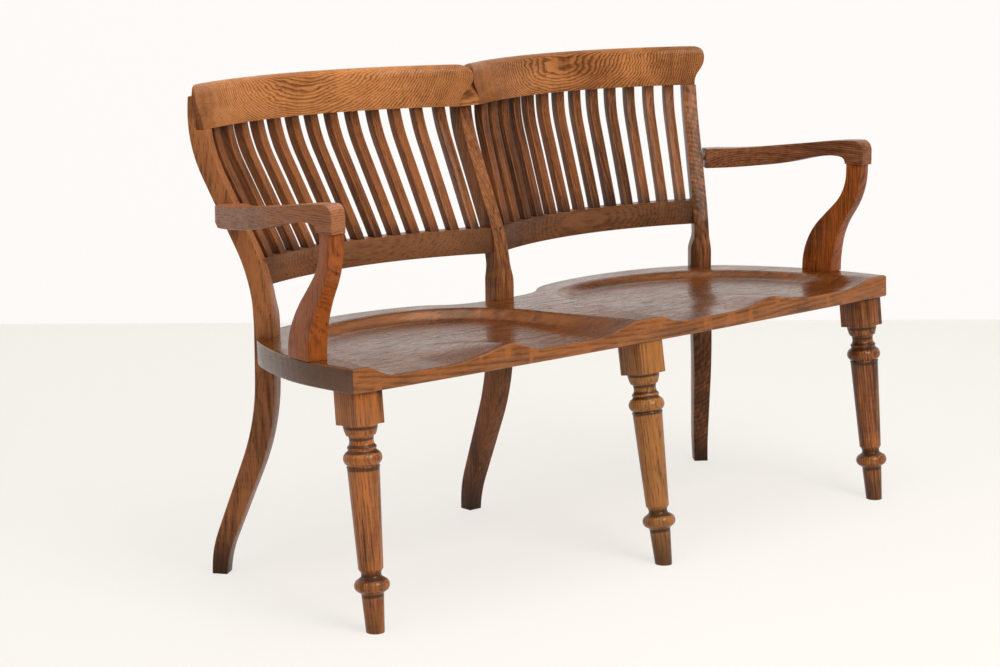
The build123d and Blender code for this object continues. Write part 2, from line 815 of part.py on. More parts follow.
def build_arm_lap_dowels():
    """Level dowels that pin the arms to the outer posts."""
    with BuildPart() as group:
        for side, word in sides:
            plane = arm_lap_plane(side)
            middle = plane.origin + plane.x_dir * arm_dowel_sweep + up * (arm_joint_height - arm_dowel_drop)
            add_rod(middle, plane.z_dir, dowel_radius, dowel_length)
    return group


def build_support_dowels():
    """Pairs of dowels between the supports and the seat board."""
    normal = seat_plane().z_dir
    with BuildPart() as group:
        for side, word in sides:
            plane = support_plane(side)
            for step in (-1, 1):
                along = support_throw + support_base_depth / 2 + step * support_dowel_spacing / 2
                place = plane.origin + plane.x_dir * along + plane.z_dir * (side * support_top_width / 2)
                drop = (seat_plane().origin - place).dot(normal) / normal.Z
                add_rod(place + up * drop, normal, dowel_radius, dowel_length)
    return group


def build_crest_dowels():
    """Dowels from the backs of the crest rails into the tongues of the outer posts."""
    with BuildPart() as group:
        for side, word in sides:
            plane = post_plane(side, outer_post_x, outer_post_depth, post_turn)
            middle = plane.origin + plane.x_dir * (outer_post_rake + post_tongue)
            middle = middle + plane.z_dir * (side * (post_outer_reach - post_top_lean - post_top_width / 2))
            for share in crest_dowel_height_shares:
                add_rod(middle + up * (crest_bottom + crest_height * share), plane.x_dir,
                        crest_dowel_radius, crest_dowel_length)
    return group


def build_cross_dowel():
    """One long level dowel that ties both crest rails through the wedge."""
    centre_y = seat_front_y + crest_end_depth + (crest_foot_thickness + wedge_setback) / 2
    centre = Vector(0, centre_y, crest_bottom + crest_height * cross_dowel_share)
    with BuildPart() as dowel:
        add_rod(centre, Vector(1, 0, 0), crest_dowel_radius, cross_dowel_length)
    return dowel


def post_places():
    """Side, x, depth and turn of each post, with the post's name."""
    return (
        (-1, outer_post_x, outer_post_depth, post_turn, "left_back_post"),
        (0, 0, centre_post_depth, 0, "centre_back_post"),
        (1, outer_post_x, outer_post_depth, post_turn, "right_back_post"),
    )


def screw_frame(side, x, depth, turn):
    """Where a post's screw starts: its plug's outer face on the back of the post, and its direction."""
    plane = post_plane(side, x, depth, turn)
    height = seat_height - depth * tan(radians(seat_fall_angle)) - seat_thickness / 2
    return plane.origin + plane.x_dir * post_depth + up * height, plane.x_dir * -1


def build_post_screws():
    """Screws from the backs of the posts into the edge of the seat board."""
    with BuildPart() as group:
        for side, x, depth, turn, name in post_places():
            start, inward = screw_frame(side, x, depth, turn)
            head = start + inward * plug_length
            add_rod(head + inward * (screw_head_length / 2), inward, screw_head_radius, screw_head_length)
            add_rod(head + inward * (screw_length / 2), inward, screw_radius, screw_length)
    return group


def build_post_plugs():
    """Wooden plugs that hide the screw heads."""
    with BuildPart() as group:
        for side, x, depth, turn, name in post_places():
            start, inward = screw_frame(side, x, depth, turn)
            add_rod(start + inward * (plug_length / 2), inward, screw_head_radius, plug_length)
    return group


# The whole settee

slats = {}
for side, word in sides:
    for index in range(slat_count):
        slat = build_slat(side, index)
        slats[side, index] = slat.part
        finish(slat, f"{word}_slat_{index + 1:02d}")

arm_joint_dowels = build_arm_joint_dowels()
arm_lap_dowels = build_arm_lap_dowels()
support_dowels = build_support_dowels()
crest_dowels = build_crest_dowels()
cross_dowel = build_cross_dowel()
post_screws = build_post_screws()
post_plugs = build_post_plugs()
finish(arm_joint_dowels, "arm_joint_dowels")
finish(arm_lap_dowels, "arm_lap_dowels")
finish(support_dowels, "support_dowels")
finish(crest_dowels, "crest_dowels")
finish(cross_dowel, "crest_cross_dowel")
finish(post_screws, "post_screws")
finish(post_plugs, "post_plugs")

crests = {}
rails = {}
for side, word in sides:
    side_slats = [slats[side, index] for index in range(slat_count)]
    crest = build_crest(side, side_slats + [crest_dowels.part, cross_dowel.part])
    rail = build_rail(side, side_slats)
    crests[side] = crest.part
    rails[side] = rail.part
    finish(crest, f"{word}_crest_rail")
    finish(rail, f"{word}_lower_rail")

wedge = build_wedge([cross_dowel.part])
finish(wedge, "crest_wedge")

legs = {}
for side, name in ((-1, "left_front_leg"), (0, "centre_front_leg"), (1, "right_front_leg")):
    if side:
        head_x = seat_half_width - leg_outer_inset
        foot_x = seat_half_width - leg_outer_foot_inset
        frame = leg_frame(side, head_x, foot_x, leg_outer_depth, leg_outer_foot_depth)
    else:
        frame = leg_frame(0, 0, 0, leg_centre_depth, leg_centre_foot_depth)
    leg = build_leg(frame)
    legs[name] = leg.part
    finish(leg, name)

notches = [post_housing_block(side, x, depth, turn) for side, x, depth, turn, name in post_places()]
seat = build_seat(notches + list(legs.values()) + [support_dowels.part, post_screws.part])
finish(seat, "seat_board")

for side, x, depth, turn, name in post_places():
    carried = [crests[-1], crests[1], rail_blank(-1), rail_blank(1), wedge.part, cross_dowel.part]
    fixings = [seat.part, arm_lap_dowels.part, crest_dowels.part, post_screws.part, post_plugs.part]
    finish(build_post(side, x, depth, turn, carried + fixings), name)

for side, word in sides:
    finish(build_arm(side, [arm_joint_dowels.part, arm_lap_dowels.part]), f"{word}_arm")
    finish(build_support(side, [arm_joint_dowels.part, support_dowels.part]), f"{word}_arm_support")
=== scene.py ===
"""Oak double chair-back settee: its finishes, its softened timber and the plain studio around it."""

from __future__ import annotations

import json
import logging
import math
from dataclasses import dataclass, field
from enum import Enum

import bmesh
import bpy
from mathutils import Matrix, Vector
from mathutils.kdtree import KDTree

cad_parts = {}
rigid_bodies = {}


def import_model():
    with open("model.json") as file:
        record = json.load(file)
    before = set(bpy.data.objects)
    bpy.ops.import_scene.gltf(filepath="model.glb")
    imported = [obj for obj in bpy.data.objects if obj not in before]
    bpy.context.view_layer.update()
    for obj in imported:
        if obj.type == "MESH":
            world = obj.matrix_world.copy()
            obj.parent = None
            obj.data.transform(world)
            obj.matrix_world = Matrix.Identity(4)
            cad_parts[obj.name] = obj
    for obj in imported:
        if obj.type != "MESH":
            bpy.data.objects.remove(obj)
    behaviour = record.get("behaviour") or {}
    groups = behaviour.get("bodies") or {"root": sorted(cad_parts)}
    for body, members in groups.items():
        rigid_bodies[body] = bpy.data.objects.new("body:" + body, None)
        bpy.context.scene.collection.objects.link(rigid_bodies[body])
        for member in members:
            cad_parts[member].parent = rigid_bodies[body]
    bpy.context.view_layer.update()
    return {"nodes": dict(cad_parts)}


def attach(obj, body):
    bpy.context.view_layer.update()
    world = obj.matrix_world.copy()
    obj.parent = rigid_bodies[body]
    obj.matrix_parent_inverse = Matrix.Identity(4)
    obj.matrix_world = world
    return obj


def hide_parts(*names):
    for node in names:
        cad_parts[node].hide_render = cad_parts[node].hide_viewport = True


LOG = logging.getLogger("settee")
BODY = "root"
SIDES = (("left", -1), ("right", 1))
SLATS_PER_SIDE = 13
LEFTOVERS = ("Cube", "Light", "Camera")
Triple = tuple[float, float, float]
Colour = Triple

# How often each mark of the oak repeats in a metre, along the fibres, across the board and through it
BEND_SCALE: Triple = (2.2, 7.0, 7.0)
RIPPLE_SCALE: Triple = (14.0, 40.0, 40.0)
CLOUD_SCALE: Triple = (6.0, 18.0, 18.0)
STREAK_SCALE: Triple = (9.0, 190.0, 190.0)
PORE_SCALE: Triple = (45.0, 620.0, 620.0)
FLAME_SCALE: Triple = (130.0, 14.0, 14.0)
RAY_SCALE: Triple = (34.0, 230.0, 24.0)

# Places and widths of the grooves on a turned leg, in shares of its length; they are painted darker, partly for dirt
# and partly as painted shade
TURNED_GROOVES = (
    (0.226, 0.020), (0.151, 0.010), (0.650, 0.012), (0.714, 0.008), (0.735, 0.008), (0.762, 0.008), (0.808, 0.008))


class Wire:
    """A shader socket that takes part in sums: each operator adds its Math node."""

    def __init__(self, nodes: Nodes, socket: bpy.types.NodeSocket) -> None:
        """Keep the node builder and the wrapped socket."""
        self.nodes = nodes
        self.socket = socket

    def _math(self, operation: str, *values: Wire | float) -> Wire:
        """Add a Math node.

        Args:
            operation: The node's operation.
            values: Its inputs in order.

        Returns:
            The node's output.
        """
        return self.nodes.add("ShaderNodeMath", {"operation": operation}, dict(enumerate(values)))

    def __add__(self, other: Wire | float) -> Wire:
        """Sum."""
        return self._math("ADD", self, other)

    __radd__ = __add__

    def __sub__(self, other: Wire | float) -> Wire:
        """Difference."""
        return self._math("SUBTRACT", self, other)

    def __rsub__(self, other: Wire | float) -> Wire:
        """Difference from a number."""
        return self._math("SUBTRACT", other, self)

    def __mul__(self, other: Wire | float) -> Wire:
        """Product."""
        return self._math("MULTIPLY", self, other)

    __rmul__ = __mul__

    def __truediv__(self, other: Wire | float) -> Wire:
        """Quotient."""
        return self._math("DIVIDE", self, other)

    def __pow__(self, other: Wire | float) -> Wire:
        """Power."""
        return self._math("POWER", self, other)

    def fraction(self) -> Wire:
        """The part after the decimal point."""
        return self._math("FRACT", self)

    def step(self, low: float, high: float) -> Wire:
        """Smooth step.

        Args:
            low: Where the step starts, at 0.
            high: Where it ends, at 1.

        Returns:
            The stepped value.
        """
        settings = {"interpolation_type": "SMOOTHSTEP"}
        return self.nodes.add("ShaderNodeMapRange", settings, {"Value": self, "From Min": low, "From Max": high})


class Nodes:
    """Adds nodes to one material or world and links them."""

    def __init__(self, owner: bpy.types.Material | bpy.types.World) -> None:
        """Clear the nodes of a new material or world."""
        self.owner = owner
        self.owner.use_nodes = True
        self.tree = self.owner.node_tree
        self.tree.nodes.clear()

    def add(self, kind: str, settings: dict, inputs: dict, output: int | str = 0) -> Wire:
        """Add one node.

        Args:
            kind: The node's type.
            settings: Its properties.
            inputs: Its inputs by name or number, each a value or a Wire.
            output: The output that is handed back.

        Returns:
            The chosen output.
        """
        node = self.tree.nodes.new(kind)
        for key, value in settings.items():
            setattr(node, key, value)
        for key, value in inputs.items():
            if isinstance(value, Wire):
                self.tree.links.new(value.socket, node.inputs[key])
            else:
                node.inputs[key].default_value = value
        return Wire(self, node.outputs[output])

    def noise(self, vector: Wire, scale: float, detail: float = 2.0, roughness: float = 0.5) -> Wire:
        """Noise between 0 and 1.

        Args:
            vector: Where it is read.
            scale: Its scale.
            detail: Its octaves.
            roughness: How strong the fine octaves are.

        Returns:
            The noise value.
        """
        values = {"Vector": vector, "Scale": scale, "Detail": detail, "Roughness": roughness}
        return self.add("ShaderNodeTexNoise", {}, values)

    def stretch(self, vector: Wire, scale: Triple) -> Wire:
        """Scale a vector.

        Args:
            vector: The vector.
            scale: Its scale along X, Y and Z.

        Returns:
            The scaled vector.
        """
        return self.add("ShaderNodeVectorMath", {"operation": "MULTIPLY"}, {0: vector, 1: scale})

    def parts(self, vector: Wire) -> list[Wire]:
        """The three parts of a vector."""
        split = self.add("ShaderNodeSeparateXYZ", {}, {0: vector})
        outputs = split.socket.node.outputs
        return [Wire(self, outputs[index]) for index in range(3)]

    def mix(self, factor: Wire | float, low: Wire | Colour, high: Wire | Colour, mode: str = "MIX") -> Wire:
        """Mix two colours.

        Args:
            factor: The share of the second colour.
            low: The first colour.
            high: The second colour.
            mode: How they are mixed.

        Returns:
            The mixed colour.
        """
        ends = [end if isinstance(end, Wire) else (*end, 1.0) for end in (low, high)]
        settings = {"data_type": "RGBA", "blend_type": mode}
        return self.add("ShaderNodeMix", settings, {0: factor, 6: ends[0], 7: ends[1]}, 2)

    def finish(self, shader: Wire, kind: str = "ShaderNodeOutputMaterial") -> bpy.types.Material | bpy.types.World:
        """Link a shader to the output.

        Args:
            shader: The surface shader.
            kind: The output node's type.

        Returns:
            The finished material or world.
        """
        node = self.tree.nodes.new(kind)
        self.tree.links.new(shader.socket, node.inputs["Surface"])
        return self.owner


class Sawing(Enum):
    """How a board was sawn from its log: where the heart lies, in metres across and through it."""

    PLAIN = (0.012, -0.075)
    QUARTER = (0.35, 0.02)
    RIFT = (-0.10, -0.10)
    BOWED = (0.0, 0.150)


@dataclass(frozen=True)
class OakFinish:
    """Stained and varnished oak, drawn from growth rings, open pores, rays, handling and painted shade.

    Colours are linear. ring and waver are metres. Most other values are strengths from 0 up. grooves are the places and
    widths of the turned grooves that are painted darker, partly for dirt and partly as painted shade, in shares of the
    piece's length. The pore colour also paints the shade at the ends and in the grooves."""

    name: str
    slot: str
    pale: Colour
    brown: Colour
    pore_and_shade: Colour
    sawing: Sawing
    ring: float = 0.0042
    ring_strength: float = 0.4
    waver: float = 0.0022
    ripple: float = 0.45
    streaks: float = 1.3
    grain: float = 1.0
    pore_strength: float = 0.55
    flecks: float = 0.0
    flame: float = 0.25
    toe_darkening: float = 0.0
    end_grime_and_shade: float = 0.0
    end_grain: float = 0.0
    top_stain: float = 0.0
    grooves: tuple[tuple[float, float], ...] = ()
    roughness: float = 0.36
    gloss: float = 0.16
    coat: float = 0.20
    coat_roughness: float = 0.09
    refraction: float = 1.45
    varnish: Colour = (1.0, 0.80, 0.60)
    top_colour: Colour = (0.46, 0.40, 0.30)
    toe_height: float = 0.11
    year_scale: float = 90.0
    relief: float = 0.30
    relief_height: float = 0.0006

    def rings(self, nodes: Nodes, timber: Wire) -> tuple[Wire, Wire]:
        """Growth rings around the heart.

        Args:
            nodes: The material's nodes.
            timber: The timber vector.

        Returns:
            The dark early wood of each ring, and a slow tone from ring to ring.
        """
        _, across, through = nodes.parts(timber)
        heart_across, heart_through = self.sawing.value
        bend = nodes.noise(nodes.stretch(timber, BEND_SCALE), 1.0, 1.0)
        ripple = nodes.noise(nodes.stretch(timber, RIPPLE_SCALE), 1.0, 2.0)
        across = across - heart_across
        through = through - heart_through
        radius = (across * across + through * through) ** 0.5
        radius = radius + (bend - 0.5) * (self.waver * 4) + (ripple - 0.5) * (self.waver * self.ripple)
        phase = (radius / self.ring).fraction()
        early = phase.step(0.0, 0.12) * (1.0 - phase.step(0.22, 0.72))
        years = nodes.add("ShaderNodeCombineXYZ", {}, {0: radius * self.year_scale})
        return early, nodes.noise(years, 1.0, 2.0)

    def colour(self, nodes: Nodes, timber: Wire, tone: Wire) -> tuple[Wire, Wire, Wire]:
        """The clean timber's colour.

        Args:
            nodes: The material's nodes.
            timber: The timber vector.
            tone: The piece's lightness: its own tone, and on the two sides also painted light and shade.

        Returns:
            The colour, the open pores and the streaks.
        """
        early, years = self.rings(nodes, timber)
        along, across, through = STREAK_SCALE
        streak_scale = (along, across * self.grain, through * self.grain)
        cloud = nodes.noise(nodes.stretch(timber, CLOUD_SCALE), 1.0, 3.0)
        streak = nodes.noise(nodes.stretch(timber, streak_scale), 1.0, 4.0, 0.65)
        fine = nodes.noise(nodes.stretch(timber, PORE_SCALE), 1.0, 1.0)
        cross = nodes.noise(nodes.stretch(timber, FLAME_SCALE), 1.0, 2.0)
        pores = fine.step(0.50, 0.64) * (early * 0.65 + 0.35)
        depth = early * self.ring_strength * 0.5 + (years - 0.5) * 0.5 + (cloud - 0.5) * 1.1
        depth = depth + (streak - 0.5) * self.streaks + (cross - 0.5) * self.flame - tone
        base = nodes.mix(depth.step(-0.25, 0.80), self.pale, self.brown)
        base = nodes.mix(pores * self.pore_strength, base, self.pore_and_shade)
        if self.flecks:
            along, across, through = RAY_SCALE
            ray = nodes.noise(nodes.stretch(timber, (along, across * self.grain, through)), 1.0, 1.0)
            base = nodes.mix(ray.step(0.60, 0.68) * self.flecks, base, self.pale)
        return base, pores, streak

    def handling(self, nodes: Nodes, base: Wire, place: Wire) -> Wire:
        """Years of use, and painted light and shade: darker ends, partly wax and dirt and partly painted shade at the
        joints; darker grooves, partly dirt and partly painted shade; darker towards the floor; and lighter rubbed
        edges, partly wear and partly a painted highlight.

        Args:
            nodes: The material's nodes.
            base: The clean timber's colour.
            place: Object coordinates.

        Returns:
            The colour after use.
        """
        smudge = nodes.noise(place, 24.0, 3.0)
        # Lighter rounded edges: partly worn finish, partly a painted edge highlight
        rubbed_and_highlit = nodes.add("ShaderNodeAttribute", {"attribute_name": "rubbed_and_highlit"}, {}, "Fac")
        base = nodes.mix(rubbed_and_highlit * smudge.step(0.35, 0.6) * 0.75, base, self.pale)
        share = nodes.add("ShaderNodeAttribute", {"attribute_name": "share"}, {}, "Fac")
        # Darken the turned grooves: partly dirt, partly painted shade in the recesses
        for centre, width in self.grooves:
            gap = (share + (smudge - 0.5) * width - centre) / width
            base = nodes.mix((1.0 - (gap * gap).step(0.15, 1.0)) * 0.8, base, self.pore_and_shade)
        # Darker towards both ends: partly dirt at the joints and on the worn crest ends, partly painted shade where the
        # pieces meet their neighbours
        if self.end_grime_and_shade:
            share = share + (smudge - 0.5) * 0.12
            middle = share.step(-0.02, 0.20) * (1.0 - share.step(0.82, 1.02))
            base = nodes.mix((1.0 - middle) * self.end_grime_and_shade, base, self.pore_and_shade)
        # Darker towards the floor, up to toe_height
        if self.toe_darkening:
            _, _, height = nodes.parts(place)
            low = 1.0 - (height + (smudge - 0.5) * 0.05).step(0.0, self.toe_height)
            base = nodes.mix(low * self.toe_darkening, base, self.pore_and_shade)
        along, _, above = nodes.parts(nodes.add("ShaderNodeTexCoord", {}, {}, "Normal"))
        if self.end_grain:
            base = nodes.mix((along * along).step(0.25, 0.9) * self.end_grain, base, self.pore_and_shade)
        if self.top_stain:
            base = nodes.mix(above.step(0.66, 0.97) * self.top_stain, base, self.top_colour, "MULTIPLY")
        return base

    def material(self) -> bpy.types.Material:
        """Build the finish's material."""
        nodes = Nodes(bpy.data.materials.new(self.name))
        timber = nodes.add("ShaderNodeAttribute", {"attribute_name": "timber"}, {}, "Vector")
        tone = nodes.add("ShaderNodeAttribute", {"attribute_name": "tone"}, {}, "Fac")
        place = nodes.add("ShaderNodeTexCoord", {}, {}, "Object")
        base, pores, streak = self.colour(nodes, timber, tone)
        base = self.handling(nodes, base, place)
        rub = nodes.noise(place, 9.0, 3.0)
        rough = self.roughness + (rub - 0.5) * 0.22 + pores * 0.12 + (streak - 0.5) * 0.25
        height = streak * 1.5 - pores
        bump = {"Strength": self.relief, "Distance": self.relief_height, "Height": height}
        normal = nodes.add("ShaderNodeBump", {}, bump)
        shader = {
            "Base Color": base, "Roughness": rough, "Normal": normal, "Coat Weight": self.coat,
            "Coat Roughness": self.coat_roughness, "IOR": self.refraction, "Specular IOR Level": self.gloss,
            "Specular Tint": (*self.varnish, 1.0)}
        return nodes.finish(nodes.add("ShaderNodeBsdfPrincipled", {}, shader))


@dataclass(frozen=True)
class PlainFinish:
    """An even finish for what is hidden inside the joints."""

    name: str
    low: Colour
    high: Colour
    metallic: float
    roughness: float
    speck_scale: float = 300.0

    def material(self) -> bpy.types.Material:
        """Build the finish's material."""
        nodes = Nodes(bpy.data.materials.new(self.name))
        place = nodes.add("ShaderNodeTexCoord", {}, {}, "Object")
        speck = nodes.noise(place, self.speck_scale, 2.0)
        base = nodes.mix(speck, self.low, self.high)
        shader = {"Base Color": base, "Metallic": self.metallic, "Roughness": self.roughness}
        return nodes.finish(nodes.add("ShaderNodeBsdfPrincipled", {}, shader))


@dataclass(frozen=True)
class Finishes:
    """Every finish of the settee."""

    seat: OakFinish = OakFinish(
        "seat_oak", "oak_seat", (0.315, 0.104, 0.026), (0.084, 0.026, 0.007), (0.022, 0.007, 0.003),
        Sawing.PLAIN, ring=0.0034, ring_strength=0.55, streaks=1.7, grain=0.35, flecks=0.85, end_grain=0.7,
        top_stain=1.0, roughness=0.22, gloss=0.50, coat=0.03)
    crest: OakFinish = OakFinish(
        "crest_oak", "oak_crest", (0.580, 0.230, 0.074), (0.150, 0.047, 0.012), (0.070, 0.020, 0.006),
        Sawing.BOWED, ring=0.0021, ring_strength=0.85, waver=0.0045, ripple=1.5, flame=0.30, streaks=0.6,
        end_grime_and_shade=0.35, end_grain=0.6, roughness=0.40, coat=0.12)
    rail: OakFinish = OakFinish(
        "rail_oak", "oak_rail", (0.250, 0.104, 0.044), (0.072, 0.027, 0.012), (0.024, 0.010, 0.006),
        Sawing.BOWED, ring=0.0026, ring_strength=0.3, waver=0.006, ripple=1.0, streaks=0.9, end_grime_and_shade=0.6,
        coat=0.12)
    post: OakFinish = OakFinish(
        "post_oak", "oak_post", (0.370, 0.138, 0.050), (0.058, 0.020, 0.008), (0.018, 0.007, 0.004),
        Sawing.RIFT, ring_strength=0.28, toe_darkening=0.85, coat=0.12)
    slat: OakFinish = OakFinish(
        "slat_oak", "oak_slat", (0.270, 0.092, 0.030), (0.040, 0.013, 0.005), (0.016, 0.006, 0.004),
        Sawing.RIFT, ring_strength=0.3, end_grime_and_shade=0.9, coat=0.10)
    arm: OakFinish = OakFinish(
        "arm_oak", "oak_arm", (0.380, 0.145, 0.062), (0.090, 0.030, 0.013), (0.032, 0.011, 0.006), Sawing.PLAIN,
        coat=0.24)
    support: OakFinish = OakFinish(
        "support_oak", "oak_support", (0.385, 0.100, 0.019), (0.072, 0.019, 0.004), (0.024, 0.008, 0.003),
        Sawing.QUARTER, flecks=0.6, coat=0.10)
    leg: OakFinish = OakFinish(
        "leg_oak", "oak_leg", (0.480, 0.160, 0.040), (0.082, 0.024, 0.007), (0.022, 0.008, 0.004),
        Sawing.PLAIN, ring=0.0050, streaks=1.5, toe_darkening=0.45, grooves=TURNED_GROOVES, coat=0.35)
    worn_leg: OakFinish = OakFinish(
        "worn_leg_oak", "oak_leg", (0.375, 0.148, 0.038), (0.062, 0.024, 0.009), (0.020, 0.008, 0.004),
        Sawing.PLAIN, ring=0.0050, streaks=1.5, toe_darkening=0.75, grooves=TURNED_GROOVES, coat=0.35)
    plug: OakFinish = OakFinish(
        "plug_oak", "oak_plug", (0.240, 0.095, 0.040), (0.080, 0.030, 0.014), (0.022, 0.009, 0.005), Sawing.QUARTER)
    dowel: PlainFinish = PlainFinish("dowel_beech", (0.42, 0.27, 0.15), (0.55, 0.38, 0.22), 0.0, 0.6)
    screw: PlainFinish = PlainFinish("screw_steel", (0.38, 0.38, 0.40), (0.52, 0.52, 0.54), 1.0, 0.4)


def smooth_path(points: list[Vector], steps: int) -> list[Vector]:
    """A smooth path through all points but the first and the last.

    Args:
        points: The points in order.
        steps: How many places the path has between two points.

    Returns:
        The places of the path.
    """
    path = []
    for before, start, end, after in zip(points, points[1:], points[2:], points[3:]):
        slope = end - before
        bend = before * 2 - start * 5 + end * 4 - after
        twist = start * 3 - before - end * 3 + after
        for step in range(steps):
            share = step / steps
            path.append(start + (slope * share + bend * share**2 + twist * share**3) / 2)
    return path


@dataclass
class Timber:
    """One piece of oak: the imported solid's own shape with eased edges, and its place in its board."""

    node: str
    finish: OakFinish
    fibres: Vector
    face: Vector
    seed: float = 0.0
    tone: float = 0.0
    easing: float = 0.0016
    sharp_angle: float = math.radians(32)
    flat_angle: float = math.radians(0.4)
    merge_distance: float = 1e-5

    def build(self, nodes: dict[str, bpy.types.Object], material: bpy.types.Material) -> bpy.types.Object:
        """Copy the solid, ease its edges, lay it in its board and dress it.

        Args:
            nodes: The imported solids.
            material: The finish's material.

        Returns:
            The new piece.
        """
        mesh = bpy.data.meshes.new(self.node + "_eased")
        bm = bmesh.new()
        bm.from_mesh(nodes[self.node].data)
        self.shape(bm)
        bm.to_mesh(mesh)
        bm.free()
        piece = bpy.data.objects.new(self.node + "_eased", mesh)
        bpy.context.scene.collection.objects.link(piece)
        self.dress(piece, material)
        return piece

    def shape(self, bm: bmesh.types.BMesh) -> None:
        """Merge the solid's triangles and ease its edges."""
        bmesh.ops.remove_doubles(bm, verts=bm.verts, dist=self.merge_distance)
        bmesh.ops.dissolve_limit(bm, angle_limit=self.flat_angle, verts=bm.verts, edges=bm.edges)
        if self.easing:
            self.ease(bm)

    def ease(self, bm: bmesh.types.BMesh) -> None:
        """Round the sharp outer edges of a mesh and mark them as worn and as painted highlight."""
        rubbed_and_highlit = bm.faces.layers.float.new("rubbed_and_highlit")
        edges = [edge for edge in bm.edges if edge.is_manifold and edge.is_convex
                 and edge.calc_face_angle() > self.sharp_angle]
        rounded = bmesh.ops.bevel(bm, geom=edges, offset=self.easing, offset_type="OFFSET", segments=3, profile=0.5,
                                  affect="EDGES", clamp_overlap=True, material=-1)
        for face in rounded["faces"]:
            face[rubbed_and_highlit] = 1.0

    def dress(self, piece: bpy.types.Object, material: bpy.types.Material) -> None:
        """Give a piece its board's axes, its finish and its place in the frame."""
        mesh = piece.data
        mesh.shade_smooth()
        mesh.set_sharp_from_angle(angle=self.sharp_angle)
        along = self.fibres.normalized()
        across = self.face.cross(along).normalized()
        board = Matrix((along, across, along.cross(across)))
        centre = sum((vertex.co for vertex in mesh.vertices), Vector()) / len(mesh.vertices)
        shift = Vector((self.seed * 3.7, 0.011 * math.sin(self.seed * 5.1), 0.013 * math.cos(self.seed * 3.3)))
        places = [part for vertex in mesh.vertices for part in board @ (vertex.co - centre) + shift]
        reaches = [vertex.co.dot(along) for vertex in mesh.vertices]
        low, high = min(reaches), max(reaches)
        shares = [(reach - low) / (high - low) for reach in reaches]
        tones = [self.tone] * len(mesh.vertices)
        mesh.attributes.new("timber", "FLOAT_VECTOR", "POINT").data.foreach_set("vector", places)
        for name, values in (("share", shares), ("tone", tones)):
            mesh.attributes.new(name, "FLOAT", "POINT").data.foreach_set("value", values)
        mesh.materials.append(material)
        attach(piece, BODY)
        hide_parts(self.node)
        LOG.info("%s: %d faces", piece.name, len(mesh.polygons))


@dataclass
class Arm(Timber):
    """An arm, whose rear end and lower outer edge are rounded more than its other edges."""

    side: int = 1
    rear_length: float = 0.018
    heel_rounding: float = 0.015
    end_rounding: float = 0.007
    lower_rounding: float = 0.006
    front_stop: float = -0.095
    looks_down: float = -0.7
    faces_post: float = -0.3

    def ease(self, bm: bmesh.types.BMesh) -> None:
        """Round the heel, the rest of the rear end, the lower outer edge, then every edge that is still sharp."""
        rear = max(corner.co.y for corner in bm.verts) - self.rear_length
        self.round(bm, self.lower(self.outer(bm, rear)), self.heel_rounding)
        self.round(bm, self.outer(bm, rear), self.end_rounding)
        self.round(bm, self.lower(self.outer(bm, self.front_stop)), self.lower_rounding)
        super().ease(bm)

    def outer(self, bm: bmesh.types.BMesh, front: float) -> list[bmesh.types.BMEdge]:
        """The sharp edges behind a place that don't bound the face lapped on the post."""
        return [edge for edge in bm.edges if min(corner.co.y for corner in edge.verts) > front
                and edge.is_convex and edge.calc_face_angle() > self.sharp_angle
                and min(face.normal.x * self.side for face in edge.link_faces) > self.faces_post]

    def lower(self, edges: list[bmesh.types.BMEdge]) -> list[bmesh.types.BMEdge]:
        """The edges that bound a face which looks down."""
        return [edge for edge in edges if min(face.normal.z for face in edge.link_faces) < self.looks_down]

    @staticmethod
    def round(bm: bmesh.types.BMesh, edges: list[bmesh.types.BMEdge], radius: float) -> None:
        """Round some edges of a mesh."""
        bmesh.ops.bevel(bm, geom=edges, offset=radius, offset_type="OFFSET", segments=5, profile=0.5,
                        affect="EDGES", clamp_overlap=True, material=-1)


